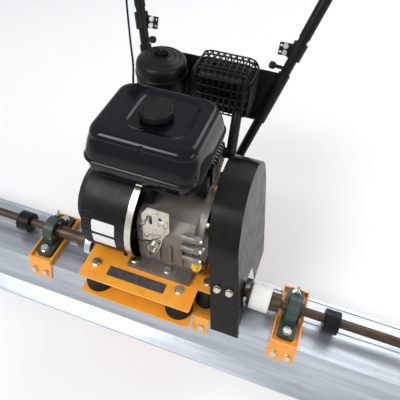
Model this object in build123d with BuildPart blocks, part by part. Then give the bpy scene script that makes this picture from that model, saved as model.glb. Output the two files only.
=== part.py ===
from build123d import *
import os
from math import cos, radians, sin, sqrt

os.makedirs("parts", exist_ok=True)

# Power screed. X runs along the beam, Y towards the operator, Z up; sizes in mm.
# The origin is the middle of the flat underside of the beam.

# Driving sizes
beam_length = 2000.0
beam_top = 110.0
half_top = 67.0
half_foot = 121.0
ridge_y = 92.0
ridge_z = 25.0
sheet = 4.0
shaft_r = 10.0
shaft_y = 5.0
bearing_height = 33.3
bolt_pitch = 95.0
plate_top = 185.0
plate_thick = 6.0
crank_height = 106.0
crank_y = 46.0
engine_x = 16.0
leg_r = 11.0

# Sizes that follow
foot_z = beam_top + sheet
shaft_z = foot_z + bearing_height
plate_under = plate_top - plate_thick
crank_z = plate_top + crank_height
bearing_x = (-900.0, -260.0, 327.0, 900.0, -45.0, 36.0)
bracket_x = bearing_x[:4]
weight_x = (-822.0, -337.0, 409.0, 822.0)
face_len = sqrt((ridge_y - half_top) ** 2 + (beam_top - ridge_z) ** 2)
face_dy = (ridge_y - half_top) / face_len
face_dz = (beam_top - ridge_z) / face_len


def bar(start, end, radius, mode=Mode.ADD):
    # Round bar between two points
    axis = Vector(*end) - Vector(*start)
    add(Solid.make_cylinder(radius, axis.length, Plane(origin=start, z_dir=axis)), mode=mode)


def block(x0, x1, y0, y1, z0, z1, mode=Mode.ADD):
    # Box between limits
    add(Solid.make_box(x1 - x0, y1 - y0, z1 - z0, Plane(origin=(x0, y0, z0))), mode=mode)


def hex_bolt(origin, axis, size, grip):
    # Hexagon bolt with washer; the washer seats at the origin, the shank runs back
    seat = Plane(origin=origin, z_dir=axis)
    flats = {6: 10.0, 8: 13.0, 10: 16.0}[size]
    bolt = Solid.make_cylinder(size, 1.8, seat)
    with BuildSketch(seat.offset(1.8), mode=Mode.PRIVATE) as head_face:
        RegularPolygon(flats / 2, 6, major_radius=False)
    head = extrude(head_face.sketch, size * 0.64, mode=Mode.PRIVATE)
    shank = Solid.make_cylinder(size / 2, grip, Plane(origin=origin, z_dir=Vector(*axis) * -1))
    add(bolt + head.solid() + shank)


def hole(origin, axis, radius, depth):
    # Clearance hole running back from a face
    start = Vector(*origin) + Vector(*axis) * 2
    end = Vector(*origin) - Vector(*axis) * depth
    bar(start, end, radius, Mode.SUBTRACT)


def face_point(along, side):
    # Point on the sloping front or back face of the beam, measured down the slope
    return side * (half_top + face_dy * along), beam_top - face_dz * along


def tab_bolts(x, spread, side):
    # Places and axis of the bolts that hold a bracket tab on the sloping face
    y, z = face_point(24, side)
    seat = (y + side * face_dz * sheet, z + face_dy * sheet)
    return [((x + dx, seat[0], seat[1]), (0, side * face_dz, face_dy)) for dx in spread]


def leg_point(along, side):
    # Point on a handle leg, measured up from the engine plate
    return (side * (85.7 + 0.2754 * along), 270.7 + 0.3769 * along, plate_top + 0.8843 * along)


def hull_ring(centres, mode=Mode.ADD):
    # Outline wrapped round several circles in the YZ plane: (y, z, radius)
    with BuildSketch(mode=Mode.PRIVATE) as ring:
        for y, z, radius in centres:
            with Locations((y, z)):
                Circle(radius)
        make_hull()
    return ring.sketch


# ---- Beam ----
section = [
    (-half_foot, 0), (-half_foot, 5), (-ridge_y, ridge_z), (-half_top, beam_top),
    (half_top, beam_top), (ridge_y, ridge_z), (half_foot, 5), (half_foot, 0),
]
chamber = [(30, 4), (30, 106), (64, 106), (87, 26), (108, 10), (108, 4)]
bracket_bolts_at = []
for x in bracket_x:
    for side in (-1, 1):
        bracket_bolts_at += tab_bolts(x, (-15, 15), side)
outboard_bolts_at = tab_bolts(150, (0,), -1)
frame_bolts_at = [(x, y) for x in (-112, 104) for y in (-18, 52)]

with BuildPart() as beam:
    with BuildSketch(Plane.YZ):
        Polygon(*section, align=None)
        with Locations((0, 55)):
            Rectangle(52, 102, mode=Mode.SUBTRACT)
        Polygon(*chamber, align=None, mode=Mode.SUBTRACT)
        Polygon(*[(-y, z) for y, z in chamber], align=None, mode=Mode.SUBTRACT)
        with Locations((-2, beam_top), (53, beam_top)):
            Rectangle(14, 4, mode=Mode.SUBTRACT)
    extrude(amount=beam_length / 2, both=True)
    for place, axis in bracket_bolts_at + outboard_bolts_at:
        hole(place, axis, 4.4, 14)
    for x in bearing_x:
        for y in (shaft_y - bolt_pitch / 2, shaft_y + bolt_pitch / 2):
            hole((x, y, foot_z + 14), (0, 0, 1), 5.4, 32)
    for x, y in frame_bolts_at:
        hole((x, y, foot_z), (0, 0, 1), 5.4, 18)
beam.part.label = "beam_extrusion"
export_step(beam.part, "parts/beam_extrusion.step")

with BuildPart() as end_caps:
    for side in (-1, 1):
        with BuildSketch(Plane.YZ.offset(side * beam_length / 2)):
            Polygon(*section, align=None)
        extrude(amount=side * 3)
        for y, z in ((-70, 40), (70, 40), (-45, 95), (45, 95)):
            bar((side * 1003, y, z), (side * 1005, y, z), 5)
end_caps.part.label = "end_caps"
export_step(end_caps.part, "parts/end_caps.step")

# ---- Bearing brackets: folded trays on the beam, tabs down both faces ----
tab_foot = face_point(42, -1)
front_wall = [
    (-half_top, beam_top), tab_foot,
    (tab_foot[0] - face_dz * sheet, tab_foot[1] + face_dy * sheet),
    (-half_top - face_dz * sheet, beam_top + face_dy * sheet),
    (-half_top - face_dz * sheet, beam_top + 14), (-half_top, beam_top + 14),
]
with BuildPart() as brackets:
    for x in bracket_x:
        with BuildSketch(Plane.YZ.offset(x - 29)):
            with Locations((0, beam_top + sheet / 2)):
                Rectangle(2 * half_top, sheet)
            Polygon(*front_wall, align=None)
            Polygon(*[(-y, z) for y, z in front_wall], align=None)
        extrude(amount=58)
        for wall_x in (x - 29, x + 26):
            block(wall_x, wall_x + 3, -half_top, half_top, beam_top, beam_top + 14)
        for side in (-1, 1):
            for place, axis in tab_bolts(x, (-15, 15), side):
                hole(place, axis, 4.4, 6)
        for y in (shaft_y - bolt_pitch / 2, shaft_y + bolt_pitch / 2):
            hole((x, y, foot_z), (0, 0, 1), 5.4, 6)
brackets.part.label = "bearing_brackets"
export_step(brackets.part, "parts/bearing_brackets.step")

with BuildPart() as bracket_bolts:
    for place, axis in bracket_bolts_at + outboard_bolts_at:
        hex_bolt(place, axis, 8, 12)
bracket_bolts.part.label = "bracket_bolts"
export_step(bracket_bolts.part, "parts/bracket_bolts.step")

# ---- Pillow blocks ----
with BuildPart() as housings:
    for x in bearing_x:
        with BuildSketch(Plane.XY.offset(foot_z)):
            with Locations((x, shaft_y)):
                RectangleRounded(38, 123, 9)
        extrude(amount=14)
        bar((x - 12, shaft_y, shaft_z), (x + 12, shaft_y, shaft_z), 31.5)
        block(x - 12, x + 12, shaft_y - 34, shaft_y + 34, foot_z, shaft_z - 8)
        bar((x, shaft_y + 20, shaft_z + 20), (x, shaft_y + 24.5, shaft_z + 24.5), 6)
        bar((x - 20, shaft_y, shaft_z), (x + 20, shaft_y, shaft_z), 23.5, Mode.SUBTRACT)
        for y in (shaft_y - bolt_pitch / 2, shaft_y + bolt_pitch / 2):
            hole((x, y, foot_z + 14), (0, 0, 1), 5.4, 16)
housings.part.label = "pillow_housings"
export_step(housings.part, "parts/pillow_housings.step")

with BuildPart() as inserts:
    for x in bearing_x:
        bar((x - 9, shaft_y, shaft_z), (x + 9, shaft_y, shaft_z), 23.5)
    for x in bearing_x:
        bar((x - 12, shaft_y, shaft_z), (x + 12, shaft_y, shaft_z), shaft_r + 0.05, Mode.SUBTRACT)
inserts.part.label = "bearing_inserts"
export_step(inserts.part, "parts/bearing_inserts.step")

with BuildPart() as nipples:
    for x in bracket_x:
        bar((x, shaft_y + 24.5, shaft_z + 24.5), (x, shaft_y + 27, shaft_z + 27), 4)
        bar((x, shaft_y + 27, shaft_z + 27), (x, shaft_y + 31, shaft_z + 31), 2.2)
        bar((x, shaft_y + 31, shaft_z + 31), (x, shaft_y + 33.5, shaft_z + 33.5), 3)
nipples.part.label = "grease_nipples"
export_step(nipples.part, "parts/grease_nipples.step")

# ---- Lower frame plate, outboard bracket, rubber mounts ----
mount_at = [(-102, -64, 31), (92, -64, 31), (-102, 240, 31), (92, 240, 31), (142, -24, 24)]
with BuildPart() as lower_plate:
    with BuildSketch(Plane.XY.offset(beam_top)):
        with Locations((-3, 96)):
            RectangleRounded(258, 398, 6)
    extrude(amount=sheet)
    for x in (-132, 122):
        block(x, x + 4, 76, 290, beam_top - 22, beam_top)
    block(-132, 126, 286, 290, beam_top - 22, beam_top)
    for x in bearing_x[4:]:
        for y in (shaft_y - bolt_pitch / 2, shaft_y + bolt_pitch / 2):
            hole((x, y, foot_z), (0, 0, 1), 5.4, 6)
    for x, y in frame_bolts_at:
        hole((x, y, foot_z), (0, 0, 1), 5.4, 6)
    for x, y, radius in mount_at[:4]:
        hole((x, y, foot_z), (0, 0, 1), 5.4, 6)
lower_plate.part.label = "lower_frame_plate"
export_step(lower_plate.part, "parts/lower_frame_plate.step")

with BuildPart() as outboard_bracket:
    block(126.5, 200, -half_top, 40, beam_top, foot_z)
    with BuildSketch(Plane.YZ.offset(128)):
        Polygon(
            (-half_top, beam_top), tab_foot,
            (tab_foot[0] - face_dz * sheet, tab_foot[1] + face_dy * sheet),
            (-half_top - face_dz * sheet, beam_top + face_dy * sheet),
            (-half_top - face_dz * sheet, foot_z), (-half_top, foot_z), align=None,
        )
    extrude(amount=36)
    for place, axis in outboard_bolts_at:
        hole(place, axis, 4.4, 6)
outboard_bracket.part.label = "outboard_bracket"
export_step(outboard_bracket.part, "parts/outboard_bracket.step")

with BuildPart() as mounts:
    for x, y, radius in mount_at:
        with BuildSketch(Plane.XZ.offset(-y)):
            with BuildLine():
                Polyline(
                    (x, foot_z), (x + radius, foot_z), (x + radius, foot_z + 7),
                    (x + radius - 5, foot_z + 20), (x + radius - 5, plate_under - 20),
                    (x + radius, plate_under - 7), (x + radius, plate_under), (x, plate_under), close=True,
                )
            make_face()
        revolve(axis=Axis((x, y, 0), (0, 0, 1)))
        if radius > 24:
            bar((x, y, foot_z - 2), (x, y, foot_z + 16), 5.4, Mode.SUBTRACT)
        bar((x, y, plate_under - 20), (x, y, plate_under + 1), 5.4, Mode.SUBTRACT)
mounts.part.label = "rubber_mounts"
export_step(mounts.part, "parts/rubber_mounts.step")

# ---- Engine plate with the outboard arm ----
engine_holes = [(engine_x + dx, crank_y + dy) for dx in (-37.75, 37.75) for dy in (-81, 81)]
with BuildPart() as engine_plate:
    with BuildSketch(Plane.XY.offset(plate_under)):
        with Locations((0, 97)):
            RectangleRounded(256, 400, 5)
        with Locations((162, -25)):
            Rectangle(76, 42)
        with Locations((190, -12)):
            Rectangle(44, 40, mode=Mode.SUBTRACT)
        with Locations((0, 205)):
            Rectangle(90, 70, mode=Mode.SUBTRACT)
    extrude(amount=plate_thick)
    for x, y, radius in mount_at:
        hole((x, y, plate_top), (0, 0, 1), 5.4, 8)
    for x, y in engine_holes:
        hole((x, y, plate_top), (0, 0, 1), 4.4, 8)
engine_plate.part.label = "engine_plate"
export_step(engine_plate.part, "parts/engine_plate.step")

# ---- Vibrator shaft: three lengths joined by two couplings ----
with BuildPart() as shafts:
    for x0, x1 in ((-925, -183), (-145, 252), (262, 925)):
        bar((x0, shaft_y, shaft_z), (x1, shaft_y, shaft_z), shaft_r)
    chamfer(shafts.edges(), 1)
shafts.part.label = "vibrator_shafts"
export_step(shafts.part, "parts/vibrator_shafts.step")

with BuildPart() as weights:
    for x in weight_x:
        bar((x - 16, shaft_y, shaft_z - 5), (x + 16, shaft_y, shaft_z - 5), 25)
    chamfer(weights.edges(), 1.5)
    for x in weight_x:
        bar((x - 20, shaft_y, shaft_z), (x + 20, shaft_y, shaft_z), shaft_r, Mode.SUBTRACT)
        bar((x, shaft_y, shaft_z), (x, shaft_y, shaft_z - 40), 3, Mode.SUBTRACT)
weights.part.label = "eccentric_weights"
export_step(weights.part, "parts/eccentric_weights.step")

with BuildPart() as lock_collars:
    for x in bearing_x:
        bar((x + 12.4, shaft_y, shaft_z), (x + 21, shaft_y, shaft_z), 16)
    for x in bearing_x:
        bar((x + 12, shaft_y, shaft_z), (x + 22, shaft_y, shaft_z), shaft_r, Mode.SUBTRACT)
        for turn in (-50, 50):
            dy = sin(radians(turn))
            dz = cos(radians(turn))
            start = (x + 17, shaft_y + 12 * dy, shaft_z + 12 * dz)
            bar(start, (x + 17, shaft_y + 20 * dy, shaft_z + 20 * dz), 2, Mode.SUBTRACT)
lock_collars.part.label = "bearing_lock_collars"
export_step(lock_collars.part, "parts/bearing_lock_collars.step")


def shaft_ring(x0, x1, radius):
    # Turned ring on the shaft axis
    bar((x0, shaft_y, shaft_z), (x1, shaft_y, shaft_z), radius)


# Couplings: hubs on the shaft ends with a disc between each pair
with BuildPart() as hubs:
    shaft_ring(-238, -183, 15)
    shaft_ring(-183, -163, 22)
    shaft_ring(-145, -128, 20)
    shaft_ring(227, 234, 24)
    shaft_ring(277, 299, 20)
    bar((-239, shaft_y, shaft_z), (-183, shaft_y, shaft_z), shaft_r, Mode.SUBTRACT)
    bar((-145, shaft_y, shaft_z), (-120, shaft_y, shaft_z), shaft_r, Mode.SUBTRACT)
    bar((220, shaft_y, shaft_z), (300, shaft_y, shaft_z), shaft_r, Mode.SUBTRACT)
hubs.part.label = "coupling_hubs"
export_step(hubs.part, "parts/coupling_hubs.step")

with BuildPart() as left_disc:
    shaft_ring(-163, -145, 30)
    chamfer(left_disc.edges(), 2)
left_disc.part.label = "coupling_disc_left"
export_step(left_disc.part, "parts/coupling_disc_left.step")

with BuildPart() as right_disc:
    shaft_ring(234, 277, 30)
    chamfer(right_disc.edges(), 2.5)
    bar((233, shaft_y, shaft_z), (252, shaft_y, shaft_z), shaft_r, Mode.SUBTRACT)
    bar((262, shaft_y, shaft_z), (278, shaft_y, shaft_z), shaft_r, Mode.SUBTRACT)
right_disc.part.label = "coupling_disc_right"
export_step(right_disc.part, "parts/coupling_disc_right.step")


def pulley(name, x, y, z, radius, bore):
    # V-belt pulley; the belt rides on the groove floor, 0.3 mm clear
    with BuildPart() as wheel:
        with BuildSketch(Plane.XY.offset(0)) as outline:
            with BuildLine():
                Polyline(
                    (x - 9, bore), (x - 9, radius), (x - 6.5, radius), (x - 4.2, radius - 9),
                    (x + 4.2, radius - 9), (x + 6.5, radius), (x + 9, radius), (x + 9, bore), close=True,
                )
            make_face()
        revolve(axis=Axis.X)
    wheel.part.label = name
    moved = Pos(0, y, z) * wheel.part
    moved.label = name
    export_step(moved, f"parts/{name}.step")


belt_x = 178
pulley("driven_pulley", belt_x, shaft_y, shaft_z, 32, shaft_r)
pulley("clutch_pulley", belt_x, crank_y, crank_z, 45, 9.5)

with BuildPart() as belt:
    outer = hull_ring([(shaft_y, shaft_z, 31.2), (crank_y, crank_z, 44.2)])
    inner = hull_ring([(shaft_y, shaft_z, 23.3), (crank_y, crank_z, 36.3)])
    with BuildSketch(Plane.YZ.offset(belt_x - 3.8)):
        add(outer)
        add(inner, mode=Mode.SUBTRACT)
    extrude(amount=7.6)
belt.part.label = "drive_belt"
export_step(belt.part, "parts/drive_belt.step")

# ---- Belt guard: folded band and outer side, leaning in towards its top ----
guard_outline = [
    (-78, 93), (-38, 216.6), (-20, 312), (23, 365), (78, 393), (145, 397), (196, 365), (197, 308), (153, 112),
]
guard_bends = (90, 105, 105, 75, 45)
lean = 0.17
guard_left = 168
guard_right = 230


def guard_prism(inset, left, right):
    # Guard outline run between two planes that lean in towards the top
    with BuildPart(mode=Mode.PRIVATE) as prism:
        with BuildSketch(Plane.YZ.offset(100)) as face:
            Polygon(*guard_outline, align=None)
            for corner, radius in zip(guard_outline[2:7], guard_bends):
                fillet(face.vertices().sort_by_distance(corner)[0], radius)
            if inset:
                offset(amount=-inset, mode=Mode.REPLACE)
        extrude(amount=150)
        with BuildSketch(Plane.XZ.offset(120)):
            Polygon(
                (left - lean * (60 - 110), 60), (left - lean * (430 - 110), 430),
                (right - lean * (430 - 110), 430), (right - lean * (60 - 110), 60), align=None,
            )
        extrude(amount=-400, mode=Mode.INTERSECT)
    return prism.part


guard_bolts_at = [((x, -41.8, 205), (0, -0.951, 0.309)) for x in (168, 194)]
with BuildPart() as guard:
    add(guard_prism(0, guard_left, guard_right))
    add(guard_prism(2, guard_left - 30, guard_right - 2), mode=Mode.SUBTRACT)
    block(90, 270, -69.2, 210, 60, 113, Mode.SUBTRACT)
    block(90, 270, -74.5, 0, 60, 99.5, Mode.SUBTRACT)
    block(200, 250, shaft_y - 27, shaft_y + 62, 100, shaft_z, Mode.SUBTRACT)
    with BuildSketch(Plane.YZ.offset(200)):
        with Locations((shaft_y + 17.5, shaft_z)):
            Ellipse(44.5, 32)
    extrude(amount=50, mode=Mode.SUBTRACT)
    for place, axis in guard_bolts_at:
        hole(place, axis, 4.4, 8)
guard.part.label = "belt_guard"
export_step(guard.part, "parts/belt_guard.step")

with BuildPart() as guard_stay:
    with BuildSketch(Plane.YZ.offset(156)):
        Polygon((-45.9, 185), (-36.1, 215), (-32, 215), (-40.5, 189), (-33, 189), (-33, 185), align=None)
    extrude(amount=50)
    for place, axis in guard_bolts_at:
        hole(place, axis, 4.4, 14)
# ---- Engine block ----
tilt = radians(25)
axis_y = cos(tilt)
axis_z = sin(tilt)
cylinder_x = 46.0


def up_axis(along, across=0.0):
    # Point on the cylinder axis, measured from the crankshaft, then square to it
    return crank_y + along * axis_y - across * axis_z, crank_z + along * axis_z + across * axis_y


def on_axis(along):
    # Work plane square to the cylinder axis
    y, z = up_axis(along)
    return Plane(origin=(cylinder_x, y, z), x_dir=(1, 0, 0), z_dir=(0, axis_y, axis_z))


case_outline = [
    (-22, 197), (-32, 230), (-32, 330), (-14, 352), (70, 360),
    up_axis(70, 45), up_axis(70, -45), (125, 240), (112, 197),
]
with BuildPart() as crankcase:
    with BuildSketch(Plane.YZ.offset(-10)) as case_face:
        Polygon(*case_outline, align=None)
        fillet(case_face.vertices().group_by(Axis.Y)[0].sort_by(Axis.Z)[-1:], 16)
    extrude(amount=117)
    block(-10, 107, -48, 142, plate_top, 197)
    for x, y in engine_holes:
        block(x - 13, x + 13, y - 13, y + 13, plate_top, 197)
    for x, y in engine_holes:
        hole((x, y, 197), (0, 0, 1), 4.4, 16)
    for x in (12, 36, 60, 84):
        block(x, x + 4, -38, -32, 234, 290)
    bar((-20, crank_y, crank_z), (120, crank_y, crank_z), 9.55, Mode.SUBTRACT)
    bar((20, 110, 236), (20, 140, 236), 9, Mode.SUBTRACT)
crankcase.part.label = "crankcase"
export_step(crankcase.part, "parts/crankcase.step")

neck_x = 117.5
cover_outline = hull_ring([(crank_y, crank_z, 72), (-8, 217, 20), (102, 217, 20)])
cover_bolts_at = [(crank_y + 64 * cos(radians(a)), crank_z + 64 * sin(radians(a))) for a in (20, 75, 130, 180)]
cover_bolts_at += [(-8, 216), (46, 206), (102, 216)]
with BuildPart() as side_cover:
    with BuildSketch(Plane.YZ.offset(107)):
        add(cover_outline)
    extrude(amount=15)
    bar((110, crank_y, crank_z), (130, crank_y, crank_z), 24)
    bar((100, crank_y, crank_z), (140, crank_y, crank_z), 9.55, Mode.SUBTRACT)
    bar((neck_x, -13, 227), (neck_x, -40, 254), 10, Mode.SUBTRACT)
    bar((neck_x, -27.5, 241.5), (neck_x, -50, 264), 12, Mode.SUBTRACT)
    for y, z in cover_bolts_at:
        hole((122, y, z), (1, 0, 0), 3.3, 6)
side_cover.part.label = "side_cover"
export_step(side_cover.part, "parts/side_cover.step")

# Oil filler neck with its screw plug on the front of the side cover
with BuildPart() as oil_neck:
    bar((neck_x, -13, 227), (neck_x, -27.5, 241.5), 10)
    bar((neck_x, -22, 236), (neck_x, -30, 244), 7.05, Mode.SUBTRACT)
oil_neck.part.label = "oil_filler_neck"
export_step(oil_neck.part, "parts/oil_filler_neck.step")

with BuildPart() as oil_plug:
    bar((neck_x, -22.3, 236.3), (neck_x, -28, 242), 7)
    bar((neck_x, -27.8, 241.8), (neck_x, -34.5, 248.5), 10.4)
    block(neck_x - 3, neck_x + 3, -44, -31, 245, 258)
oil_plug.part.label = "oil_plug"
export_step(oil_plug.part, "parts/oil_plug.step")

with BuildPart() as barrel:
    with BuildSketch(on_axis(70)):
        RectangleRounded(84, 80, 20)
    extrude(amount=58)
    for step in range(8):
        with BuildSketch(on_axis(72 + 7 * step)):
            RectangleRounded(104, 88, 12)
        extrude(amount=2.5)
barrel.part.label = "cylinder_barrel"
export_step(barrel.part, "parts/cylinder_barrel.step")

with BuildPart() as head:
    with BuildSketch(on_axis(128.2)):
        RectangleRounded(88, 76, 14)
    extrude(amount=46)
    for step in range(6):
        with BuildSketch(on_axis(131 + 7.5 * step)):
            RectangleRounded(102, 84, 12)
        extrude(amount=2.5)
head.part.label = "cylinder_head"
export_step(head.part, "parts/cylinder_head.step")

with BuildPart() as rocker:
    with BuildSketch(on_axis(174.4)):
        RectangleRounded(84, 72, 14)
    extrude(amount=5)
    with BuildSketch(on_axis(179)):
        RectangleRounded(74, 62, 16)
    extrude(amount=34)
    fillet(rocker.faces().sort_by(Axis((0, 0, 0), (0, axis_y, axis_z)))[-1].edges(), 8)
rocker.part.label = "rocker_cover"
export_step(rocker.part, "parts/rocker_cover.step")

plug_y, plug_z = up_axis(152)
with BuildPart() as spark_plug:
    bar((cylinder_x - 51.2, plug_y, plug_z), (cylinder_x - 58, plug_y, plug_z), 8)
    bar((cylinder_x - 58, plug_y, plug_z), (cylinder_x - 78, plug_y, plug_z), 6)
spark_plug.part.label = "spark_plug"
export_step(spark_plug.part, "parts/spark_plug.step")

# ---- Cooling fan housing and starter ----
shroud_r = 110.0
with BuildPart() as shroud:
    bar((-120, crank_y, crank_z), (-10.2, crank_y, crank_z), shroud_r)
    block(-160, 0, -100, 200, 150, plate_top + 3, Mode.SUBTRACT)
    with BuildPart(mode=Mode.PRIVATE) as shroud_room:
        bar((-118, crank_y, crank_z), (0, crank_y, crank_z), shroud_r - 2)
        block(-160, 10, -100, 200, 150, plate_top + 5, Mode.SUBTRACT)
    add(shroud_room.part, mode=Mode.SUBTRACT)
    bar((-130, crank_y, crank_z), (-110, crank_y, crank_z), 70, Mode.SUBTRACT)
shroud.part.label = "fan_shroud"
export_step(shroud.part, "parts/fan_shroud.step")

with BuildPart() as recoil:
    with BuildSketch(Plane.XY):
        with BuildLine():
            Polyline((-120.3, 0), (-120.3, 86), (-128, 86), (-150, 70), (-152, 60), (-152, 0), close=True)
        make_face()
        with BuildLine():
            Polyline((-120.3, 0), (-120.3, 82), (-127, 82), (-148, 67), (-149, 60), (-149, 0), close=True)
        make_face(mode=Mode.SUBTRACT)
    revolve(axis=Axis.X)
    for turn in range(12):
        slot_dir = (cos(radians(30 * turn)), sin(radians(30 * turn)))
        start = (-160, 42 * slot_dir[0], 42 * slot_dir[1])
        bar(start, (-140, 42 * slot_dir[0], 42 * slot_dir[1]), 7, Mode.SUBTRACT)
grip_y = 150
grip_z = crank_z - 12
with BuildPart() as starter:
    add(Pos(0, crank_y, crank_z) * recoil.part)
    bar((-139, grip_y - 9, grip_z), (-139, crank_y + 72, grip_z), 9)
    bar((-139, grip_y, grip_z), (-139, crank_y + 62, grip_z), 3.5, Mode.SUBTRACT)
starter.part.label = "recoil_cover"
export_step(starter.part, "parts/recoil_cover.step")

with BuildPart() as recoil_grip:
    bar((-166, grip_y, grip_z), (-123, grip_y, grip_z), 8)
    fillet(recoil_grip.edges(), 5)
recoil_grip.part.label = "recoil_grip"
export_step(recoil_grip.part, "parts/recoil_grip.step")

# ---- Crankshaft, flywheel ----
with BuildPart() as crankshaft:
    bar((-112, crank_y, crank_z), (189.5, crank_y, crank_z), 9.5)
crankshaft.part.label = "crankshaft"
export_step(crankshaft.part, "parts/crankshaft.step")

with BuildPart() as flywheel:
    bar((-70, crank_y, crank_z), (-40, crank_y, crank_z), 88)
    bar((-108, crank_y, crank_z), (-70, crank_y, crank_z), 34)
    for turn in range(16):
        dy = cos(radians(22.5 * turn))
        dz = sin(radians(22.5 * turn))
        vane = Plane(origin=(-70, crank_y, crank_z), x_dir=(0, dy, dz), z_dir=(-1, 0, 0))
        with BuildSketch(vane):
            with Locations((66, 0)):
                Rectangle(40, 3)
        extrude(amount=30)
    bar((-120, crank_y, crank_z), (-30, crank_y, crank_z), 9.5, Mode.SUBTRACT)
flywheel.part.label = "flywheel"
export_step(flywheel.part, "parts/flywheel.step")

# ---- Fuel tank ----
with BuildPart() as tank:
    with BuildSketch(Plane.XY.offset(406)):
        with Locations((-10.5, 82.5)):
            RectangleRounded(213, 183, 22)
    with BuildSketch(Plane.XY.offset(447)):
        with Locations((-10.5, 82.5)):
            RectangleRounded(229, 199, 28)
    loft()
    with BuildSketch(Plane.XY.offset(447)):
        with Locations((-10.5, 82.5)):
            RectangleRounded(233, 203, 30)
    extrude(amount=4)
    with BuildSketch(Plane.XY.offset(451)):
        with Locations((-10.5, 82.5)):
            RectangleRounded(225, 195, 28)
    with BuildSketch(Plane.XY.offset(508)):
        with Locations((-11.5, 88.5)):
            RectangleRounded(191, 157, 30)
    loft()
    fillet(tank.faces().sort_by(Axis.Z)[-1].edges(), 9)
    bar((-11, 88, 500), (-11, 88, 515), 22)
tank.part.label = "fuel_tank"
export_step(tank.part, "parts/fuel_tank.step")

with BuildPart() as stays:
    add(guard_stay.part)
    for x, y in ((96, 96), (96, 60)):
        block(88, 104, y - 8, y + 8, 361.5, 406)
    block(-2, 10, 0, 40, 358.5, 406)
    with BuildPart(mode=Mode.PRIVATE) as under_tank:
        with BuildSketch(Plane.YZ.offset(-10)):
            Polygon(*case_outline, align=None)
        extrude(amount=117)
    add(under_tank.part, mode=Mode.SUBTRACT)
    add(barrel.part, mode=Mode.SUBTRACT)
    block(80, 110, 40, 130, 340, 362, Mode.SUBTRACT)
stays.part.label = "mounting_stays"
export_step(stays.part, "parts/mounting_stays.step")

with BuildPart() as fuel_cap:
    bar((-11, 88, 509), (-11, 88, 523), 34.5)
    for turn in range(10):
        y = 88 + 37 * sin(radians(36 * turn))
        x = -11 + 37 * cos(radians(36 * turn))
        bar((x, y, 500), (x, y, 530), 6, Mode.SUBTRACT)
    fillet(fuel_cap.faces().sort_by(Axis.Z)[-1].edges(), 2.5)
    bar((-11, 88, 505), (-11, 88, 515.3), 22.05, Mode.SUBTRACT)
fuel_cap.part.label = "fuel_cap"
export_step(fuel_cap.part, "parts/fuel_cap.step")

# ---- Carburettor and air cleaner ----
with BuildPart() as carburettor:
    block(-46, -6, 196, 236, 352, 392)
    bar((-26, 216, 352), (-26, 216, 322), 19)
    bar((-10, 216, 372), (-0.5, 216, 372), 14)
carburettor.part.label = "carburettor"
export_step(carburettor.part, "parts/carburettor.step")

cleaner = (-90, 296)
cable_end = (-112, 211, 394)
with BuildPart() as cleaner_base:
    bar((*cleaner, 400), (*cleaner, 410), 60)
    block(-106, -60, 206, 296, 380, 400)
    block(-60, -46, 206, 240, 360, 400)
    bar((*cleaner, 409), (*cleaner, 503), 3)
    block(cable_end[0] - 14, cable_end[0] + 14, cable_end[1] - 6, cable_end[1] + 9, 380, cable_end[2])
cleaner_base.part.label = "air_cleaner_base"
export_step(cleaner_base.part, "parts/air_cleaner_base.step")

with BuildPart() as cleaner_cover:
    with BuildSketch(Plane.XZ):
        with BuildLine():
            Polyline((3.2, 410), (58, 410), (58, 472), (50, 490), (40, 494), (3.2, 496), close=True)
        make_face()
    revolve(axis=Axis.Z)
    fillet(cleaner_cover.edges().filter_by(GeomType.CIRCLE).filter_by(lambda e: e.radius > 38 and e.center().Z > 460), 5)
    with BuildSketch(Plane.XZ):
        with BuildLine():
            Polyline((30, 409), (52, 409), (52, 470), (30, 470), close=True)
        make_face()
    revolve(axis=Axis.Z, mode=Mode.SUBTRACT)
cover_part = Pos(*cleaner, 0) * cleaner_cover.part
cover_part.label = "air_cleaner_cover"
export_step(cover_part, "parts/air_cleaner_cover.step")

with BuildPart() as wing_nut:
    bar((*cleaner, 496.1), (*cleaner, 503), 7)
    block(cleaner[0] - 17, cleaner[0] + 17, cleaner[1] - 2, cleaner[1] + 2, 499, 509)
    bar((*cleaner, 490), (*cleaner, 503.2), 3.05, Mode.SUBTRACT)
wing_nut.part.label = "wing_nut"
export_step(wing_nut.part, "parts/wing_nut.step")

# ---- Muffler, pipe and wire cage ----
with BuildPart() as muffler:
    with BuildSketch(Plane.YZ.offset(4)):
        with Locations((300, 456)):
            RectangleRounded(72, 84, 22)
    extrude(amount=104)
    fillet(muffler.faces().sort_by(Axis.X)[0].edges(), 6)
    fillet(muffler.faces().sort_by(Axis.X)[-1].edges(), 6)
    bar((97.2, 190, 362), (112, 190, 362), 11)
    add(Solid.make_sphere(11.5, Plane(origin=(112, 190, 362))))
    bar((112, 190, 362), (96, 285, 432), 11)
    bar((30, 300, 470), (30, 300, 520), 7, Mode.SUBTRACT)
muffler.part.label = "muffler"
export_step(muffler.part, "parts/muffler.step")

wire = 2.2
cage_x = (-8, 120)
cage_y = (256, 344)
cage_z = (410, 460, 508)
with BuildPart() as cage:
    for y in cage_y:
        for z in cage_z:
            bar((cage_x[0] - 1, y, z), (cage_x[1] + 1, y, z), wire)
    for x in cage_x:
        for z in cage_z:
            bar((x, cage_y[0] - 1, z), (x, cage_y[1] + 1, z), wire - 0.2)
    for step in range(9):
        x = cage_x[0] + 16 * step
        bar((x, cage_y[0], cage_z[0] - 1), (x, cage_y[0], cage_z[2] + 1), wire - 0.1)
        bar((x, cage_y[0] - 1, cage_z[2]), (x, cage_y[1] + 1, cage_z[2]), wire - 0.3)
    for x in cage_x:
        bar((x, cage_y[1], cage_z[0] - 1), (x, cage_y[1], cage_z[2] + 1), wire - 0.1)
    bar((112, 190, 362), (96, 285, 432), 14, Mode.SUBTRACT)
    for x in (36, 84):
        block(x, x + 8, 336.3, 343, 457, 463)
        block(x, x + 8, 257, 263.7, 457, 463)
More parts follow.
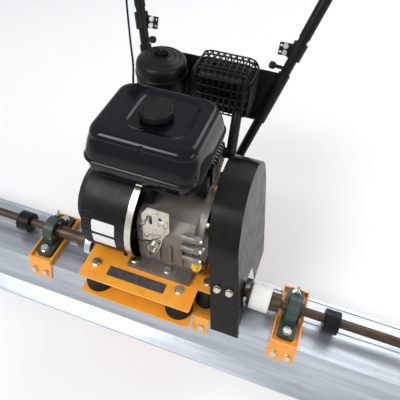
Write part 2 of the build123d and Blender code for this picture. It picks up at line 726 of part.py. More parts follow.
cage.part.label = "muffler_cage"
export_step(cage.part, "parts/muffler_cage.step")

# ---- Governor control plate on the front of the engine ----
with BuildPart() as control_plate:
    with BuildSketch(Plane.XZ.offset(38.5)):
        with BuildLine():
            Polyline((6, 296), (6, 372), (20, 396), (62, 396), (62, 340), (40, 296), close=True)
        make_face()
        with Locations((24, 362), (44, 362)):
            SlotOverall(26, 7, rotation=90, mode=Mode.SUBTRACT)
    extrude(amount=-2)
    for place in ((14, 308), (34, 308)):
        bar((place[0], -36.6, place[1]), (place[0], -32, place[1]), 5)
control_plate.part.label = "control_plate"
export_step(control_plate.part, "parts/control_plate.step")

strap_ring = hull_ring([(crank_y, crank_z, shroud_r + 1.6)])
with BuildPart() as strap:
    with BuildSketch(Plane.YZ.offset(-24)):
        add(strap_ring)
        with Locations((crank_y, crank_z)):
            Circle(shroud_r, mode=Mode.SUBTRACT)
        with Locations((crank_y + 130, crank_z), (crank_y, crank_z - 140)):
            Rectangle(200, 200, mode=Mode.SUBTRACT)
    extrude(amount=13)
strap.part.label = "shroud_strap"
export_step(strap.part, "parts/shroud_strap.step")

# Blank plates: two on the fan housing, one on the engine plate
with BuildPart() as plates:
    with BuildSketch(Plane.YZ.offset(-96)):
        with Locations((crank_y, crank_z)):
            Circle(shroud_r + 0.8)
            Circle(shroud_r, mode=Mode.SUBTRACT)
    extrude(amount=50)
    with BuildSketch(Plane.XZ.offset(20)):
        for z in (282, 318):
            with Locations((-71, z)):
                RectangleRounded(50, 28, 3)
    extrude(amount=120, mode=Mode.INTERSECT)
    with BuildSketch(Plane.XY.offset(plate_top)):
        with Locations((-3, -72)):
            RectangleRounded(132, 24, 2)
    extrude(amount=0.8)
plates.part.label = "blank_plates"
export_step(plates.part, "parts/blank_plates.step")

# ---- Levers on the engine ----
with BuildPart() as choke_lever:
    bar((-5.8, 230, 387), (-2.8, 230, 387), 3.5)
    block(-5, -2.8, 228, 232, 387, 401)
choke_lever.part.label = "choke_lever"
export_step(choke_lever.part, "parts/choke_lever.step")

with BuildPart() as fuel_lever:
    bar((-26, 236.3, 340), (-26, 240, 340), 6)
    block(-29, -23, 237, 240, 340, 362)
fuel_lever.part.label = "fuel_cock_lever"
export_step(fuel_lever.part, "parts/fuel_cock_lever.step")

with BuildPart() as control_lever:
    bar((-26, 200, 392.2), (-26, 200, 396), 4)
    block(-104, -26, 197, 203, 393, 396)
control_lever.part.label = "engine_control_lever"
export_step(control_lever.part, "parts/engine_control_lever.step")

with BuildPart() as stop_switch:
    bar((20, 118, 236), (20, 131, 236), 8.95)
    block(17, 23, 128, 136, 229, 243)
stop_switch.part.label = "stop_switch"
export_step(stop_switch.part, "parts/stop_switch.step")

# ---- Handles ----
with BuildPart() as legs:
    for side in (-1, 1):
        bar(leg_point(-20, side), leg_point(420, side), leg_r)
        x, y, z = leg_point(0, side)
        block(x - 26, x + 26, y - 17, y + 28, plate_top, plate_top + 5)
        block(x - 60, x + 60, y - 60, y + 60, plate_top - 60, plate_top, Mode.SUBTRACT)
        pin = leg_point(316.6, side)
        bar((pin[0] - side * 4, pin[1] - 3, pin[2] + 2), (pin[0] - side * 29, pin[1] - 20.5, pin[2] + 15.5), 4)
        bar((pin[0] - side * 28, pin[1] - 20, pin[2] + 15), (pin[0] - side * 34, pin[1] - 24, pin[2] + 18), 8)
legs.part.label = "handle_legs"
export_step(legs.part, "parts/handle_legs.step")

with BuildPart() as clamps:
    for side in (-1, 1):
        bar(leg_point(340, side), leg_point(378, side), 16)
        face = Plane(origin=leg_point(359, side), x_dir=(-side, 0, 0), z_dir=(0, 0.9199, -0.3921))
        with BuildSketch(face.offset(-3)):
            with Locations((20, 0)):
                Rectangle(40, 27)
        extrude(amount=6)
        for along, across in ((26, 7), (26, -7), (36, 7), (36, -7)):
            spot = face * Pos(along, across, 0)
            hole(spot.position - face.z_dir * 3, face.z_dir * -1, 3.1 if along < 30 else 2.4, 12)
        bar(leg_point(330, side), leg_point(390, side), leg_r, Mode.SUBTRACT)
clamps.part.label = "handle_clamps"
export_step(clamps.part, "parts/handle_clamps.step")

# ---- Zinc bolts of the frame, bearings, guard, engine and clamps ----
with BuildPart() as bolts:
    for x in bearing_x:
        for y in (shaft_y - bolt_pitch / 2, shaft_y + bolt_pitch / 2):
            hex_bolt((x, y, foot_z + 14), (0, 0, 1), 10, 26)
    for x, y, radius in mount_at:
        hex_bolt((x, y, plate_top), (0, 0, 1), 10, 22)
    for x, y in frame_bolts_at:
        hex_bolt((x, y, foot_z), (0, 0, 1), 10, 14)
    for place, axis in guard_bolts_at:
        hex_bolt(place, axis, 8, 10)
    for y, z in cover_bolts_at:
        hex_bolt((122, y, z), (1, 0, 0), 6, 4)
    for x, y in engine_holes:
        hex_bolt((x, y, 197), (0, 0, 1), 8, 16)
    for side in (-1, 1):
        face = Plane(origin=leg_point(359, side), x_dir=(-side, 0, 0), z_dir=(0, 0.9199, -0.3921))
        for across in (7, -7):
            spot = face * Pos(26, across, 0)
            hex_bolt(spot.position - face.z_dir * 3, face.z_dir * -1, 6, 9)
bolts.part.label = "zinc_bolts"
export_step(bolts.part, "parts/zinc_bolts.step")

low_left = leg_point(184, -1)
plate_face = Plane(origin=(0, low_left[1], low_left[2]), x_dir=(1, 0, 0), z_dir=(0, -0.9199, 0.3921))
half_low = -low_left[0] - leg_r - 1
half_high = -leg_point(305, -1)[0] - leg_r - 1
with BuildPart() as cross_plate:
    with BuildSketch(plate_face) as cross_face:
        Polygon((-half_low, 0), (half_low, 0), (half_high, 116), (-half_high, 116), align=None)
        fillet(cross_face.vertices().sort_by(Axis.Z)[-2:], 12)
    extrude(amount=3)
    for side in (-1, 1):
        bar(leg_point(184, side), leg_point(305, side), leg_r + 3)
    for side in (-1, 1):
        bar(leg_point(180, side), leg_point(310, side), leg_r, Mode.SUBTRACT)
cross_plate.part.label = "cross_plate"
export_step(cross_plate.part, "parts/cross_plate.step")

def handle_run(side):
    # Start of the upper tube and its bend, where it turns level towards the operator
    return Vector(*leg_point(388, side)), Vector(*leg_point(830, side))


with BuildPart() as handlebars:
    for side in (-1, 1):
        start, bend = handle_run(side)
        with BuildLine() as route:
            FilletPolyline(start, bend, bend + Vector(0, 200, 0), radius=70)
        with BuildSketch(Plane(origin=start, z_dir=bend - start)):
            Circle(12.7)
        sweep(path=route.line)
        bar(leg_point(380, side), leg_point(424, side), leg_r, Mode.SUBTRACT)
handlebars.part.label = "handlebars"
export_step(handlebars.part, "parts/handlebars.step")

with BuildPart() as grips:
    for side in (-1, 1):
        start, bend = handle_run(side)
        bar(bend + Vector(0, 84, 0), bend + Vector(0, 206, 0), 17)
    fillet(grips.edges(), 4)
    for side in (-1, 1):
        start, bend = handle_run(side)
        bar(bend + Vector(0, 80, 0), bend + Vector(0, 200, 0), 12.7, Mode.SUBTRACT)
grips.part.label = "handle_grips"
export_step(grips.part, "parts/handle_grips.step")

with BuildPart() as crossbar:
    left = leg_point(660, -1)
    right = leg_point(660, 1)
    bar(left, right, 12.7)
    for side in (-1, 1):
        bar(leg_point(600, side), leg_point(720, side), 12.7, Mode.SUBTRACT)
crossbar.part.label = "handle_crossbar"
export_step(crossbar.part, "parts/handle_crossbar.step")

# ---- Throttle hand lever and cable ----
hub = leg_point(740, -1)
with BuildPart() as lever_mount:
    bar(leg_point(722, -1), leg_point(758, -1), 16)
    bar((hub[0] - 10, hub[1], hub[2]), (hub[0] - 26, hub[1], hub[2]), 14)
    bar(leg_point(700, -1), leg_point(780, -1), 12.7, Mode.SUBTRACT)
lever_mount.part.label = "throttle_lever_mount"
export_step(lever_mount.part, "parts/throttle_lever_mount.step")

with BuildPart() as hand_lever:
    bar((hub[0] - 26.1, hub[1], hub[2]), (hub[0] - 34, hub[1], hub[2]), 14)
    bar((hub[0] - 30, hub[1], hub[2]), (hub[0] - 34, hub[1] + 62, hub[2] + 20), 3.5)
    bar((hub[0] - 34, hub[1] + 58, hub[2] + 19), (hub[0] - 36, hub[1] + 84, hub[2] + 27), 6)
hand_lever.part.label = "throttle_hand_lever"
export_step(hand_lever.part, "parts/throttle_hand_lever.step")

cable_r = 2.5
cable_points = []
for step, along in enumerate((715, 665, 612, 558, 504, 450)):
    x, y, z = leg_point(along, -1)
    bow = 3 if step % 2 else 0
    cable_points.append((x - 22 - bow, y - 6, z))
cable_points += [
    (-229, 420, 536), (-229, 421, 480), (-202, 372, 452), (-168, 312, 440),
    (-140, 250, 440), (-122, 224, 424), (-112, 211, 388),
]
with BuildPart() as cable:
    with BuildLine() as cable_route:
        points = [Vector(*p) for p in cable_points]
        radii = []
        for before, here, after in zip(points, points[1:], points[2:]):
            one = (here - before).normalized()
            two = (after - here).normalized()
            half_turn = radians(one.get_angle(two)) / 2
            run = min((here - before).length, (after - here).length)
            radii.append(0.45 * run * cos(half_turn) / sin(half_turn))
        FilletPolyline(*cable_points, radius=radii)
    start = points[0]
    with BuildSketch(Plane(origin=start, z_dir=points[1] - start)):
        Circle(cable_r)
    sweep()
    block(-140, -80, 180, 240, 370, cable_end[2], Mode.SUBTRACT)
cable.part.label = "throttle_cable"
export_step(cable.part, "parts/throttle_cable.step")
print("cable bend radii", [round(r) for r in radii], "length", round(sum(e.length for e in cable_route.edges())))
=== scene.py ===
import bmesh
import bpy
import numpy as np
from mathutils import Matrix, Vector


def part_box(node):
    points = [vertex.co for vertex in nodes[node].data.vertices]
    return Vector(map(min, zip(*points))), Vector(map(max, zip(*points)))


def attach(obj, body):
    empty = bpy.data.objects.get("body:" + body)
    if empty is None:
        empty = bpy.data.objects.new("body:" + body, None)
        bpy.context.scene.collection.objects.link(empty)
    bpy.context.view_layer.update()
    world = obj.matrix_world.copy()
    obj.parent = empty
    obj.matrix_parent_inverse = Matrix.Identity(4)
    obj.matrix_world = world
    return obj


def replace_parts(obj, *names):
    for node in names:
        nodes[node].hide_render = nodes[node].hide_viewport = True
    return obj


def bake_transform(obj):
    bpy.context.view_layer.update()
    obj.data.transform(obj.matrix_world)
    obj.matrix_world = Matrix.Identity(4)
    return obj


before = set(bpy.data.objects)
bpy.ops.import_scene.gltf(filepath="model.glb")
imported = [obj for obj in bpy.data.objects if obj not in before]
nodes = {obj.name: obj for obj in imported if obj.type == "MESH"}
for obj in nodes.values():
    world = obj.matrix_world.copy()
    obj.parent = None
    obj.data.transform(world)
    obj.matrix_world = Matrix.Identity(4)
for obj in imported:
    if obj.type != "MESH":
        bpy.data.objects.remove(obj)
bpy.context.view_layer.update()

print("stage: frame loaded,", len(nodes), "nodes")


def newFinish(name, base, rough, metal=0.0, coat=0.0, gloss=0.5):
    # a node material with its plain numbers on the shader's own sockets
    mat = bpy.data.materials.new(name)
    mat.use_nodes = True
    tree = mat.node_tree
    shader = tree.nodes["Principled BSDF"]
    shader.inputs["Base Color"].default_value = (*base, 1)
    shader.inputs["Roughness"].default_value = rough
    shader.inputs["Metallic"].default_value = metal
    shader.inputs["Coat Weight"].default_value = coat
    shader.inputs["Coat Roughness"].default_value = 0.12
    shader.inputs["Specular IOR Level"].default_value = gloss
    return mat, tree, shader


def addNode(tree, kind, values):
    # a shader node with the given numbers on its input sockets
    node = tree.nodes.new(kind)
    for socket, value in values.items():
        node.inputs[socket].default_value = value
    return node


def noiseOn(tree, scale, stretch=(1, 1, 1), detail=5.0):
    # noise on Object coordinates, stretched along an axis by the mapping
    coords = addNode(tree, "ShaderNodeTexCoord", {})
    mapping = addNode(tree, "ShaderNodeMapping", {"Scale": stretch})
    noise = addNode(tree, "ShaderNodeTexNoise", {"Scale": scale, "Detail": detail})
    tree.links.new(coords.outputs["Object"], mapping.inputs["Vector"])
    tree.links.new(mapping.outputs["Vector"], noise.inputs["Vector"])
    return noise.outputs["Fac"]


def rampBetween(tree, value, low, high, colours):
    # two colours, ramped between two values of a noise
    ramp = addNode(tree, "ShaderNodeValToRGB", {})
    ramp.color_ramp.elements[0].position = low
    ramp.color_ramp.elements[1].position = high
    ramp.color_ramp.elements[0].color = (*colours[0], 1)
    ramp.color_ramp.elements[1].color = (*colours[1], 1)
    tree.links.new(value, ramp.inputs["Fac"])
    return ramp.outputs["Color"]


def spreadTo(tree, value, low, high, first, last):
    # a noise value from low..high mapped to first..last
    spread = addNode(tree, "ShaderNodeMapRange",
                     {"From Min": low, "From Max": high, "To Min": first, "To Max": last})
    tree.links.new(value, spread.inputs["Value"])
    return spread.outputs["Result"]


def bumpFrom(tree, shader, values, strength, distance):
    # the heights of several noises added up, bumping the shader
    height = values[0]
    for extra in values[1:]:
        both = addNode(tree, "ShaderNodeMath", {})
        both.operation = "ADD"
        tree.links.new(height, both.inputs[0])
        tree.links.new(extra, both.inputs[1])
        height = both.outputs[0]
    bump = addNode(tree, "ShaderNodeBump", {"Strength": strength, "Distance": distance})
    tree.links.new(height, bump.inputs["Height"])
    tree.links.new(bump.outputs["Normal"], shader.inputs["Normal"])


def mixColours(tree, factor, first, second):
    # second colour laid over the first where the factor is high
    # (this node's colours are its inputs 6 and 7 and its output 2)
    mix = addNode(tree, "ShaderNodeMix", {})
    mix.data_type = "RGBA"
    tree.links.new(factor, mix.inputs[0])
    for socket, colour in ((6, first), (7, second)):
        if isinstance(colour, tuple):
            mix.inputs[socket].default_value = (*colour, 1)
        else:
            tree.links.new(colour, mix.inputs[socket])
    return mix.outputs[2]


# what a finish has unless its own row says otherwise
plainLook = dict(metal=0.0, coat=0.0, gloss=0.5, stretch=(1, 1, 1), blotchScale=12, wipeScale=30,
                 dustScale=140, dustColour=(0.25, 0.23, 0.2), depth=0.0004)
noiseBands = dict(blotch=(0.35, 0.68), specks=(0.55, 0.75), wipe=(0.3, 0.7))


def wornFinish(name, row):
    # two base colours in blotches, a spread of roughness, a grain bump and dust
    look = {**plainLook, **row}
    mat, tree, shader = newFinish(name, look["colour"], look["rough"][0], look["metal"],
                                  look["coat"], look["gloss"])
    blotch = noiseOn(tree, look["blotchScale"], look["stretch"])
    colour = rampBetween(tree, blotch, *noiseBands["blotch"], (look["colour"], look["colour2"]))
    if "dust" in look:
        specks = noiseOn(tree, look["dustScale"], detail=8.0)
        factor = spreadTo(tree, specks, *noiseBands["specks"], 0.0, look["dust"])
        colour = mixColours(tree, factor, colour, look["dustColour"])
    tree.links.new(colour, shader.inputs["Base Color"])
    wipe = noiseOn(tree, look["wipeScale"], look["stretch"], 6.0)
    rough = spreadTo(tree, wipe, *noiseBands["wipe"], *look["rough"])
    tree.links.new(rough, shader.inputs["Roughness"])
    fine = noiseOn(tree, look["grain"], look.get("grainStretch", look["stretch"]), 4.0)
    bumpFrom(tree, shader, [fine, wipe], look["bump"], look["depth"])
    return mat


finishes = {
    "beamAluminium": dict(
        colour=(0.44, 0.475, 0.525), colour2=(0.60, 0.635, 0.68), rough=(0.30, 0.48), metal=0.85,
        stretch=(0.6, 9, 9), blotchScale=7, wipeScale=12, grain=70, grainStretch=(0.5, 12, 12),
        bump=0.12, dust=0.25, dustColour=(0.40, 0.38, 0.35), dustScale=45),
    "orangePaint": dict(
        colour=(0.90, 0.33, 0.022), colour2=(0.98, 0.41, 0.04), rough=(0.26, 0.42), coat=0.35,
        grain=420, bump=0.16, dust=0.22, dustColour=(0.35, 0.14, 0.03), dustScale=60),
    "greenCasting": dict(
        colour=(0.012, 0.034, 0.026), colour2=(0.03, 0.06, 0.048), rough=(0.36, 0.58), coat=0.15,
        grain=330, bump=0.5, dust=0.3, dustColour=(0.10, 0.09, 0.07)),
    "zincPlate": dict(
        colour=(0.60, 0.59, 0.55), colour2=(0.74, 0.70, 0.58), rough=(0.2, 0.4), metal=1.0,
        grain=300, bump=0.12, blotchScale=60, dust=0.35, dustColour=(0.22, 0.19, 0.14)),
    "oxidisedSteel": dict(
        colour=(0.055, 0.036, 0.026), colour2=(0.12, 0.078, 0.052), rough=(0.34, 0.55), metal=0.75,
        stretch=(1, 6, 6), blotchScale=14, grain=160, bump=0.25, dust=0.4,
        dustColour=(0.13, 0.06, 0.03)),
    "glossBlack": dict(
        colour=(0.0016, 0.0022, 0.0036), colour2=(0.003, 0.0036, 0.005), rough=(0.10, 0.2),
        coat=0.05, gloss=0.22, grain=90, bump=0.03, depth=0.0002, dust=0.06,
        dustColour=(0.04, 0.036, 0.03)),
    "satinBlack": dict(
        colour=(0.0036, 0.0036, 0.004), colour2=(0.008, 0.008, 0.0085), rough=(0.28, 0.46),
        gloss=0.2, grain=520, bump=0.2, dust=0.10, dustColour=(0.03, 0.026, 0.022)),
    "guardBlack": dict(
        colour=(0.0038, 0.0030, 0.0026), colour2=(0.009, 0.0066, 0.0055), rough=(0.20, 0.36),
        coat=0.03, gloss=0.24, grain=240, bump=0.1, blotchScale=5, dust=0.15,
        dustColour=(0.035, 0.026, 0.02)),
    "mouldedBlack": dict(
        colour=(0.005, 0.005, 0.0055), colour2=(0.010, 0.010, 0.0105), rough=(0.42, 0.6),
        gloss=0.2, grain=700, bump=0.35, dust=0.15, dustColour=(0.04, 0.036, 0.03)),
    "rubberBlack": dict(
        colour=(0.008, 0.008, 0.008), colour2=(0.018, 0.017, 0.016), rough=(0.55, 0.8),
        gloss=0.2, grain=380, bump=0.35, dust=0.35, dustColour=(0.10, 0.09, 0.08)),
    "castAlloy": dict(
        colour=(0.17, 0.15, 0.135), colour2=(0.30, 0.275, 0.25), rough=(0.34, 0.58), metal=0.6,
        grain=260, bump=0.65, blotchScale=16, dust=0.35, dustColour=(0.12, 0.10, 0.08)),
    "turnedNylon": dict(
        colour=(0.74, 0.74, 0.70), colour2=(0.82, 0.82, 0.79), rough=(0.35, 0.5), stretch=(8, 1, 1),
        grain=180, bump=0.12, dust=0.25, dustColour=(0.45, 0.42, 0.36)),
    "yellowMoulded": dict(
        colour=(0.85, 0.52, 0.01), colour2=(0.92, 0.60, 0.03), rough=(0.25, 0.4), coat=0.3,
        grain=400, bump=0.12, dust=0.2, dustColour=(0.35, 0.2, 0.04)),
    "greenCap": dict(
        colour=(0.30, 0.42, 0.36), colour2=(0.45, 0.55, 0.48), rough=(0.3, 0.45), metal=0.6,
        grain=300, bump=0.2, dust=0.3),
}
mats = {name: wornFinish(name, row) for name, row in finishes.items()}

plateLook = dict(paper=((0.72, 0.72, 0.72), (0.82, 0.82, 0.81)),
                 tin=((0.05, 0.045, 0.05), (0.10, 0.085, 0.085)), tinBelow=0.19, paperAbove=0.2)


def plateFinish():
    # blank plates: pale paper above the engine plate, dark tin on it, told apart by height
    mat, tree, shader = newFinish("blankPlate", (0.75, 0.75, 0.73), 0.4)
    coords = addNode(tree, "ShaderNodeTexCoord", {})
    parts = addNode(tree, "ShaderNodeSeparateXYZ", {})
    tree.links.new(coords.outputs["Object"], parts.inputs[0])
    above = spreadTo(tree, parts.outputs["Z"], plateLook["tinBelow"], plateLook["paperAbove"], 0.0, 1.0)
    paper = rampBetween(tree, noiseOn(tree, 60), *noiseBands["wipe"], plateLook["paper"])
    tin = rampBetween(tree, noiseOn(tree, 90), *noiseBands["wipe"], plateLook["tin"])
    tree.links.new(mixColours(tree, above, tin, paper), shader.inputs["Base Color"])
    grain = noiseOn(tree, 500)
    rough = spreadTo(tree, grain, *noiseBands["wipe"], 0.32, 0.5)
    tree.links.new(rough, shader.inputs["Roughness"])
    bumpFrom(tree, shader, [grain], 0.08, 0.0003)
    return mat


mats["blankPlate"] = plateFinish()

finishOf = {
    "beamAluminium": ("beam_extrusion", "coupling_disc_left"),
    "orangePaint": ("bearing_brackets", "lower_frame_plate", "outboard_bracket", "engine_plate"),
    "greenCasting": ("pillow_housings",),
    "zincPlate": ("bearing_inserts", "zinc_bolts", "bracket_bolts", "shroud_strap", "control_plate"),
    "oxidisedSteel": ("vibrator_shafts", "coupling_hubs", "crankshaft", "bearing_lock_collars"),
    "glossBlack": ("fuel_tank",),
    "satinBlack": ("fan_shroud", "rocker_cover", "engine_control_lever", "recoil_cover",
                   "handle_legs", "handlebars", "handle_clamps", "handle_crossbar", "cross_plate",
                   "mounting_stays", "muffler", "muffler_cage", "eccentric_weights",
                   "clutch_pulley", "driven_pulley"),
    "guardBlack": ("belt_guard",),
    "mouldedBlack": ("end_caps", "air_cleaner_cover", "air_cleaner_base", "recoil_grip",
                     "choke_lever", "fuel_cock_lever", "spark_plug", "wing_nut",
                     "oil_filler_neck", "throttle_cable", "throttle_hand_lever",
                     "throttle_lever_mount", "fuel_cap", "stop_switch"),
    "rubberBlack": ("rubber_mounts", "drive_belt", "handle_grips"),
    "castAlloy": ("crankcase", "side_cover", "cylinder_barrel", "cylinder_head", "carburettor",
                  "flywheel"),
    "turnedNylon": ("coupling_disc_right",),
    "yellowMoulded": ("oil_plug",),
    "greenCap": ("grease_nipples",),
    "blankPlate": ("blank_plates",),
}
for finish, members in finishOf.items():
    for member in members:
        if member not in nodes:
            print("no node", member)
            continue
        part = nodes[member]
        part.data.materials.clear()
        part.data.materials.append(mats[finish])
print("stage: finishes on the frame")


def anglesRound(sides):
    # even angles round a full turn
    return np.linspace(0, 2 * np.pi, sides, endpoint=False)


def axisFrame(axis):
    # the unit axis and two unit directions square to it
    axis = np.array(axis, float) / np.linalg.norm(axis)
    side = np.cross(axis, (0, 0, 1) if abs(axis[2]) < 0.9 else (1, 0, 0))
    side /= np.linalg.norm(side)
    return axis, side, np.cross(axis, side)


def squaredCircle(u, power):
    # superellipse: cosine and sine of the angle raised to a power, with their signs kept
    return (np.sign(np.cos(u)) * np.abs(np.cos(u)) ** power,
            np.sign(np.sin(u)) * np.abs(np.sin(u)) ** power)


def surfaceMesh(name, grid, finish, body, wrapV=False, capStart=False, capEnd=False):
    # mesh of a grid of points: rows along v, columns round u; v may join up, ends may be capped
    rows, cols = grid.shape[:2]
    r = np.arange(rows if wrapV else rows - 1)
    rr, cc = np.meshgrid(r, np.arange(cols), indexing="ij")
    r2 = (rr + 1) % rows
    c2 = (cc + 1) % cols
    quads = np.stack([rr * cols + cc, rr * cols + c2, r2 * cols + c2, r2 * cols + cc], -1)
    faces = quads.reshape(-1, 4).tolist()
    if capStart:
        faces.append(list(range(cols))[::-1])
    if capEnd:
        faces.append(list(range((rows - 1) * cols, rows * cols)))
    mesh = bpy.data.meshes.new(name)
    mesh.from_pydata(grid.reshape(-1, 3).tolist(), [], faces)
    mesh.validate()
    mesh.update()
    mesh.materials.append(mats[finish])
    mesh.polygons.foreach_set("use_smooth", [True] * len(mesh.polygons))
    piece = bpy.data.objects.new(name, mesh)
    bpy.context.scene.collection.objects.link(piece)
    if body:
        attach(piece, body)
    return piece


def sharpen(piece, degrees=35):
    # keeps edges sharper than the angle crisp
    mesh = piece.data
    bm = bmesh.new()
    bm.from_mesh(mesh)
    limit = np.radians(degrees)
    for edge in bm.edges:
        if len(edge.link_faces) == 2 and edge.calc_face_angle(0) > limit:
            edge.smooth = False
    bm.to_mesh(mesh)
    bm.free()
    return piece


def turned(name, profile, centre, axis, finish, body, sides=96):
    # profile of (radius, height) turned about an axis through the centre
    profile = np.array(profile, float)
    axis, side, other = axisFrame(axis)
    u = anglesRound(sides)
    ring = np.cos(u)[:, None] * side + np.sin(u)[:, None] * other
    grid = (np.array(centre) + profile[:, 0, None, None] * ring[None]
            + profile[:, 1, None, None] * axis)
    return sharpen(surfaceMesh(name, grid, finish, body))


def tubeAlong(name, path, radius, finish, body, sides, closed=False):
    # round tube: a circle carried along a path, square to it, with a steady frame
    path = np.array(path, float)
    if closed:
        tangent = np.roll(path, -1, 0) - np.roll(path, 1, 0)
    else:
        tangent = np.gradient(path, axis=0)
    tangent /= np.linalg.norm(tangent, axis=1)[:, None]
    normal = np.cross(tangent[0], (0.31, 0.87, 0.38))
    normals = []
    for t in tangent:
        normal = normal - t * np.dot(normal, t)
        normal /= np.linalg.norm(normal)
        normals.append(normal)
    normals = np.array(normals)
    binormals = np.cross(tangent, normals)
    u = anglesRound(sides)
    grid = path[:, None] + radius * (np.cos(u)[None, :, None] * normals[:, None]
                                     + np.sin(u)[None, :, None] * binormals[:, None])
    return surfaceMesh(name, grid, finish, body, wrapV=closed, capStart=not closed,
                       capEnd=not closed)


def roundPath(points, steps=16):
    # smooth path through points, by a spline of neighbouring chords
    points = np.array(points, float)
    padded = np.vstack([2 * points[0] - points[1], points, 2 * points[-1] - points[-2]])
    out = []
    for i in range(1, len(padded) - 2):
        t = np.linspace(0, 1, steps, endpoint=False)[:, None]
        a, b, c, d = padded[i - 1:i + 3]
        out.append(0.5 * (2 * b + (c - a) * t + (2 * a - 5 * b + 4 * c - d) * t ** 2
                          + (3 * b - a - 3 * c + d) * t ** 3))
    out.append(points[-1:])
    return np.vstack(out)


tankLook = dict(rimZ=0.449, topZ=0.508, bottomZ=0.406, sides=360, grooveX=-0.004,
                grooveWidth=0.0022, grooveDepth=0.0022, capX=-0.011, capY=0.088, recess=0.0035,
                dipShift=0.012, dipSide=0.058, dipFront=0.050, dipBack=0.062, dipEdge=26)
thinHalf, thinLength = 1e-6, 1e-9


def roundedOutline(u, x0, x1, y0, y1, corner):
    # rounded rectangle: a ray from the middle meets the box, corners pulled to a circle
    mx, my = (x0 + x1) / 2, (y0 + y1) / 2
    ax, ay = (x1 - x0) / 2, (y1 - y0) / 2
    corner = max(min(corner, ax, ay), 0)
    dx, dy = np.cos(u), np.sin(u)
    steep = np.maximum(abs(dx) / max(ax, thinHalf), abs(dy) / max(ay, thinHalf))
    reach = 1 / np.maximum(steep, thinLength)
    px, py = dx * reach, dy * reach
    if corner > 0:
        qx = np.maximum(abs(px) - (ax - corner), 0)
        qy = np.maximum(abs(py) - (ay - corner), 0)
        length = np.hypot(qx, qy)
        pull = np.where(length > corner, corner / np.maximum(length, thinLength), 1.0)
        both = (qx > 0) & (qy > 0)
        px = np.where(both, np.sign(px) * (ax - corner + qx * pull), px)
        py = np.where(both, np.sign(py) * (ay - corner + qy * pull), py)
    return mx + px, my + py


def evenRow(z, inset, corner):
    # a row of the tank with the same inset on its four sides
    return (z, inset, inset, inset, inset, corner)


def tankShell():
    # rounded rectangles stacked from the sump to the crown: the wall leans in by a power of the
    # height, the shoulder is a quarter circle, the crown dips round the cap and a press groove
    # of bell-curve section runs down the front
    low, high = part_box("fuel_tank")
    cy = (low.y + high.y) / 2
    hx, hy = (high.x - low.x) / 2, (high.y - low.y) / 2
    rim, top, bottom = tankLook["rimZ"], tankLook["topZ"], tankLook["bottomZ"]
    # each row: height, inset on the four sides (left, right, front, back), corner radius
    rows = [
        evenRow(bottom, 0.060, 0.02),
        (bottom, 0.020, 0.020, 0.022, 0.022, 0.03),
        (bottom + 0.002, 0.013, 0.013, 0.014, 0.014, 0.03),
        (bottom + 0.008, 0.008, 0.008, 0.009, 0.009, 0.031),
        evenRow(bottom + 0.020, 0.005, 0.031),
        evenRow(rim - 0.008, 0.004, 0.031),
        evenRow(rim - 0.0035, 0.0035, 0.031),
        evenRow(rim - 0.003, 0.0006, 0.033),
        evenRow(rim - 0.0015, 0, 0.033),
        evenRow(rim + 0.0005, 0, 0.033),
        evenRow(rim + 0.002, 0.0007, 0.033),
        evenRow(rim + 0.0026, 0.0035, 0.031),
    ]
    for k in range(1, 13):
        s = k / 12
        rows.append((rim + 0.0026 + (top - rim - 0.017) * s, 0.0035 + 0.007 * s ** 1.6,
                     0.0035 + 0.009 * s ** 1.6, 0.0035 + 0.014 * s ** 1.7,
                     0.0035 + 0.008 * s ** 1.6, 0.031 - 0.001 * s))
    endRow = rows[-1]
    for k in range(1, 13):
        a = k / 12 * np.pi / 2
        grow = 0.0125 * (1 - np.cos(a))
        rise = (top - endRow[0]) * np.sin(a)
        rows.append((endRow[0] + rise, endRow[1] + grow, endRow[2] + grow,
                     endRow[3] + grow * 1.25, endRow[4] + grow, 0.029))
    lastRow = rows[-1]
    for k in range(1, 41):
        s = k / 40
        rows.append((top + 0.0008 * np.sin(s * np.pi / 2), lastRow[1] + (hx - lastRow[1]) * s,
                     lastRow[2] + (hx - lastRow[2]) * s, lastRow[3] + (hy - lastRow[3]) * s,
                     lastRow[4] + (hy - lastRow[4]) * s, 0.029 * (1 - s) + 0.0001))
    u = anglesRound(tankLook["sides"])
    rings = []
    for height, left, right, front, back, corner in rows:
        x0, x1, y0, y1 = low.x + left, high.x - right, low.y + front, high.y - back
        if x1 - x0 < 1e-4:
            x0 = x1 = (x0 + x1) / 2
        if y1 - y0 < 1e-4:
            y0 = y1 = (y0 + y1) / 2
        outX, outY = roundedOutline(u, x0, x1, y0, y1, corner)
        rings.append(np.stack([outX, outY, np.full_like(u, height)], -1))
    grid = np.array(rings)
    x, y, z = grid[..., 0], grid[..., 1], grid[..., 2]
    # dip round the cap: a rounded square open to the back
    capX, capY = tankLook["capX"], tankLook["capY"]
    reachX = np.abs(x - capX - tankLook["dipShift"]) / tankLook["dipSide"]
    reachY = np.where(y < capY, (capY - y) / tankLook["dipFront"], (y - capY) / tankLook["dipBack"])
    square = (reachX ** 5 + np.maximum(reachY, 0) ** 5) ** 0.2
    dip = 1 / (1 + np.exp((square - 1) * tankLook["dipEdge"]))
    z -= tankLook["recess"] * dip * (z > top - 0.004)
    # press groove down the middle of the front
    groove = np.exp(-((x - tankLook["grooveX"]) / tankLook["grooveWidth"]) ** 2)
    groove = groove * np.clip((top - 0.004 - z) / 0.004, 0, 1)
    groove *= np.clip((z - rim - 0.030) / 0.008, 0, 1) * (y < cy - hy * 0.6)
    y += tankLook["grooveDepth"] * groove
    return surfaceMesh("tankShell", grid, "glossBlack", "root", capStart=True)


tank = tankShell()
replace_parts(tank, "fuel_tank")

# raised neck under the cap
turned("tankNeck", [(0.0, 0.504), (0.0215, 0.504), (0.0215, 0.5115), (0.020, 0.5125), (0.0, 0.5125)],
       (tankLook["capX"], tankLook["capY"], 0), (0, 0, 1), "glossBlack", "root")

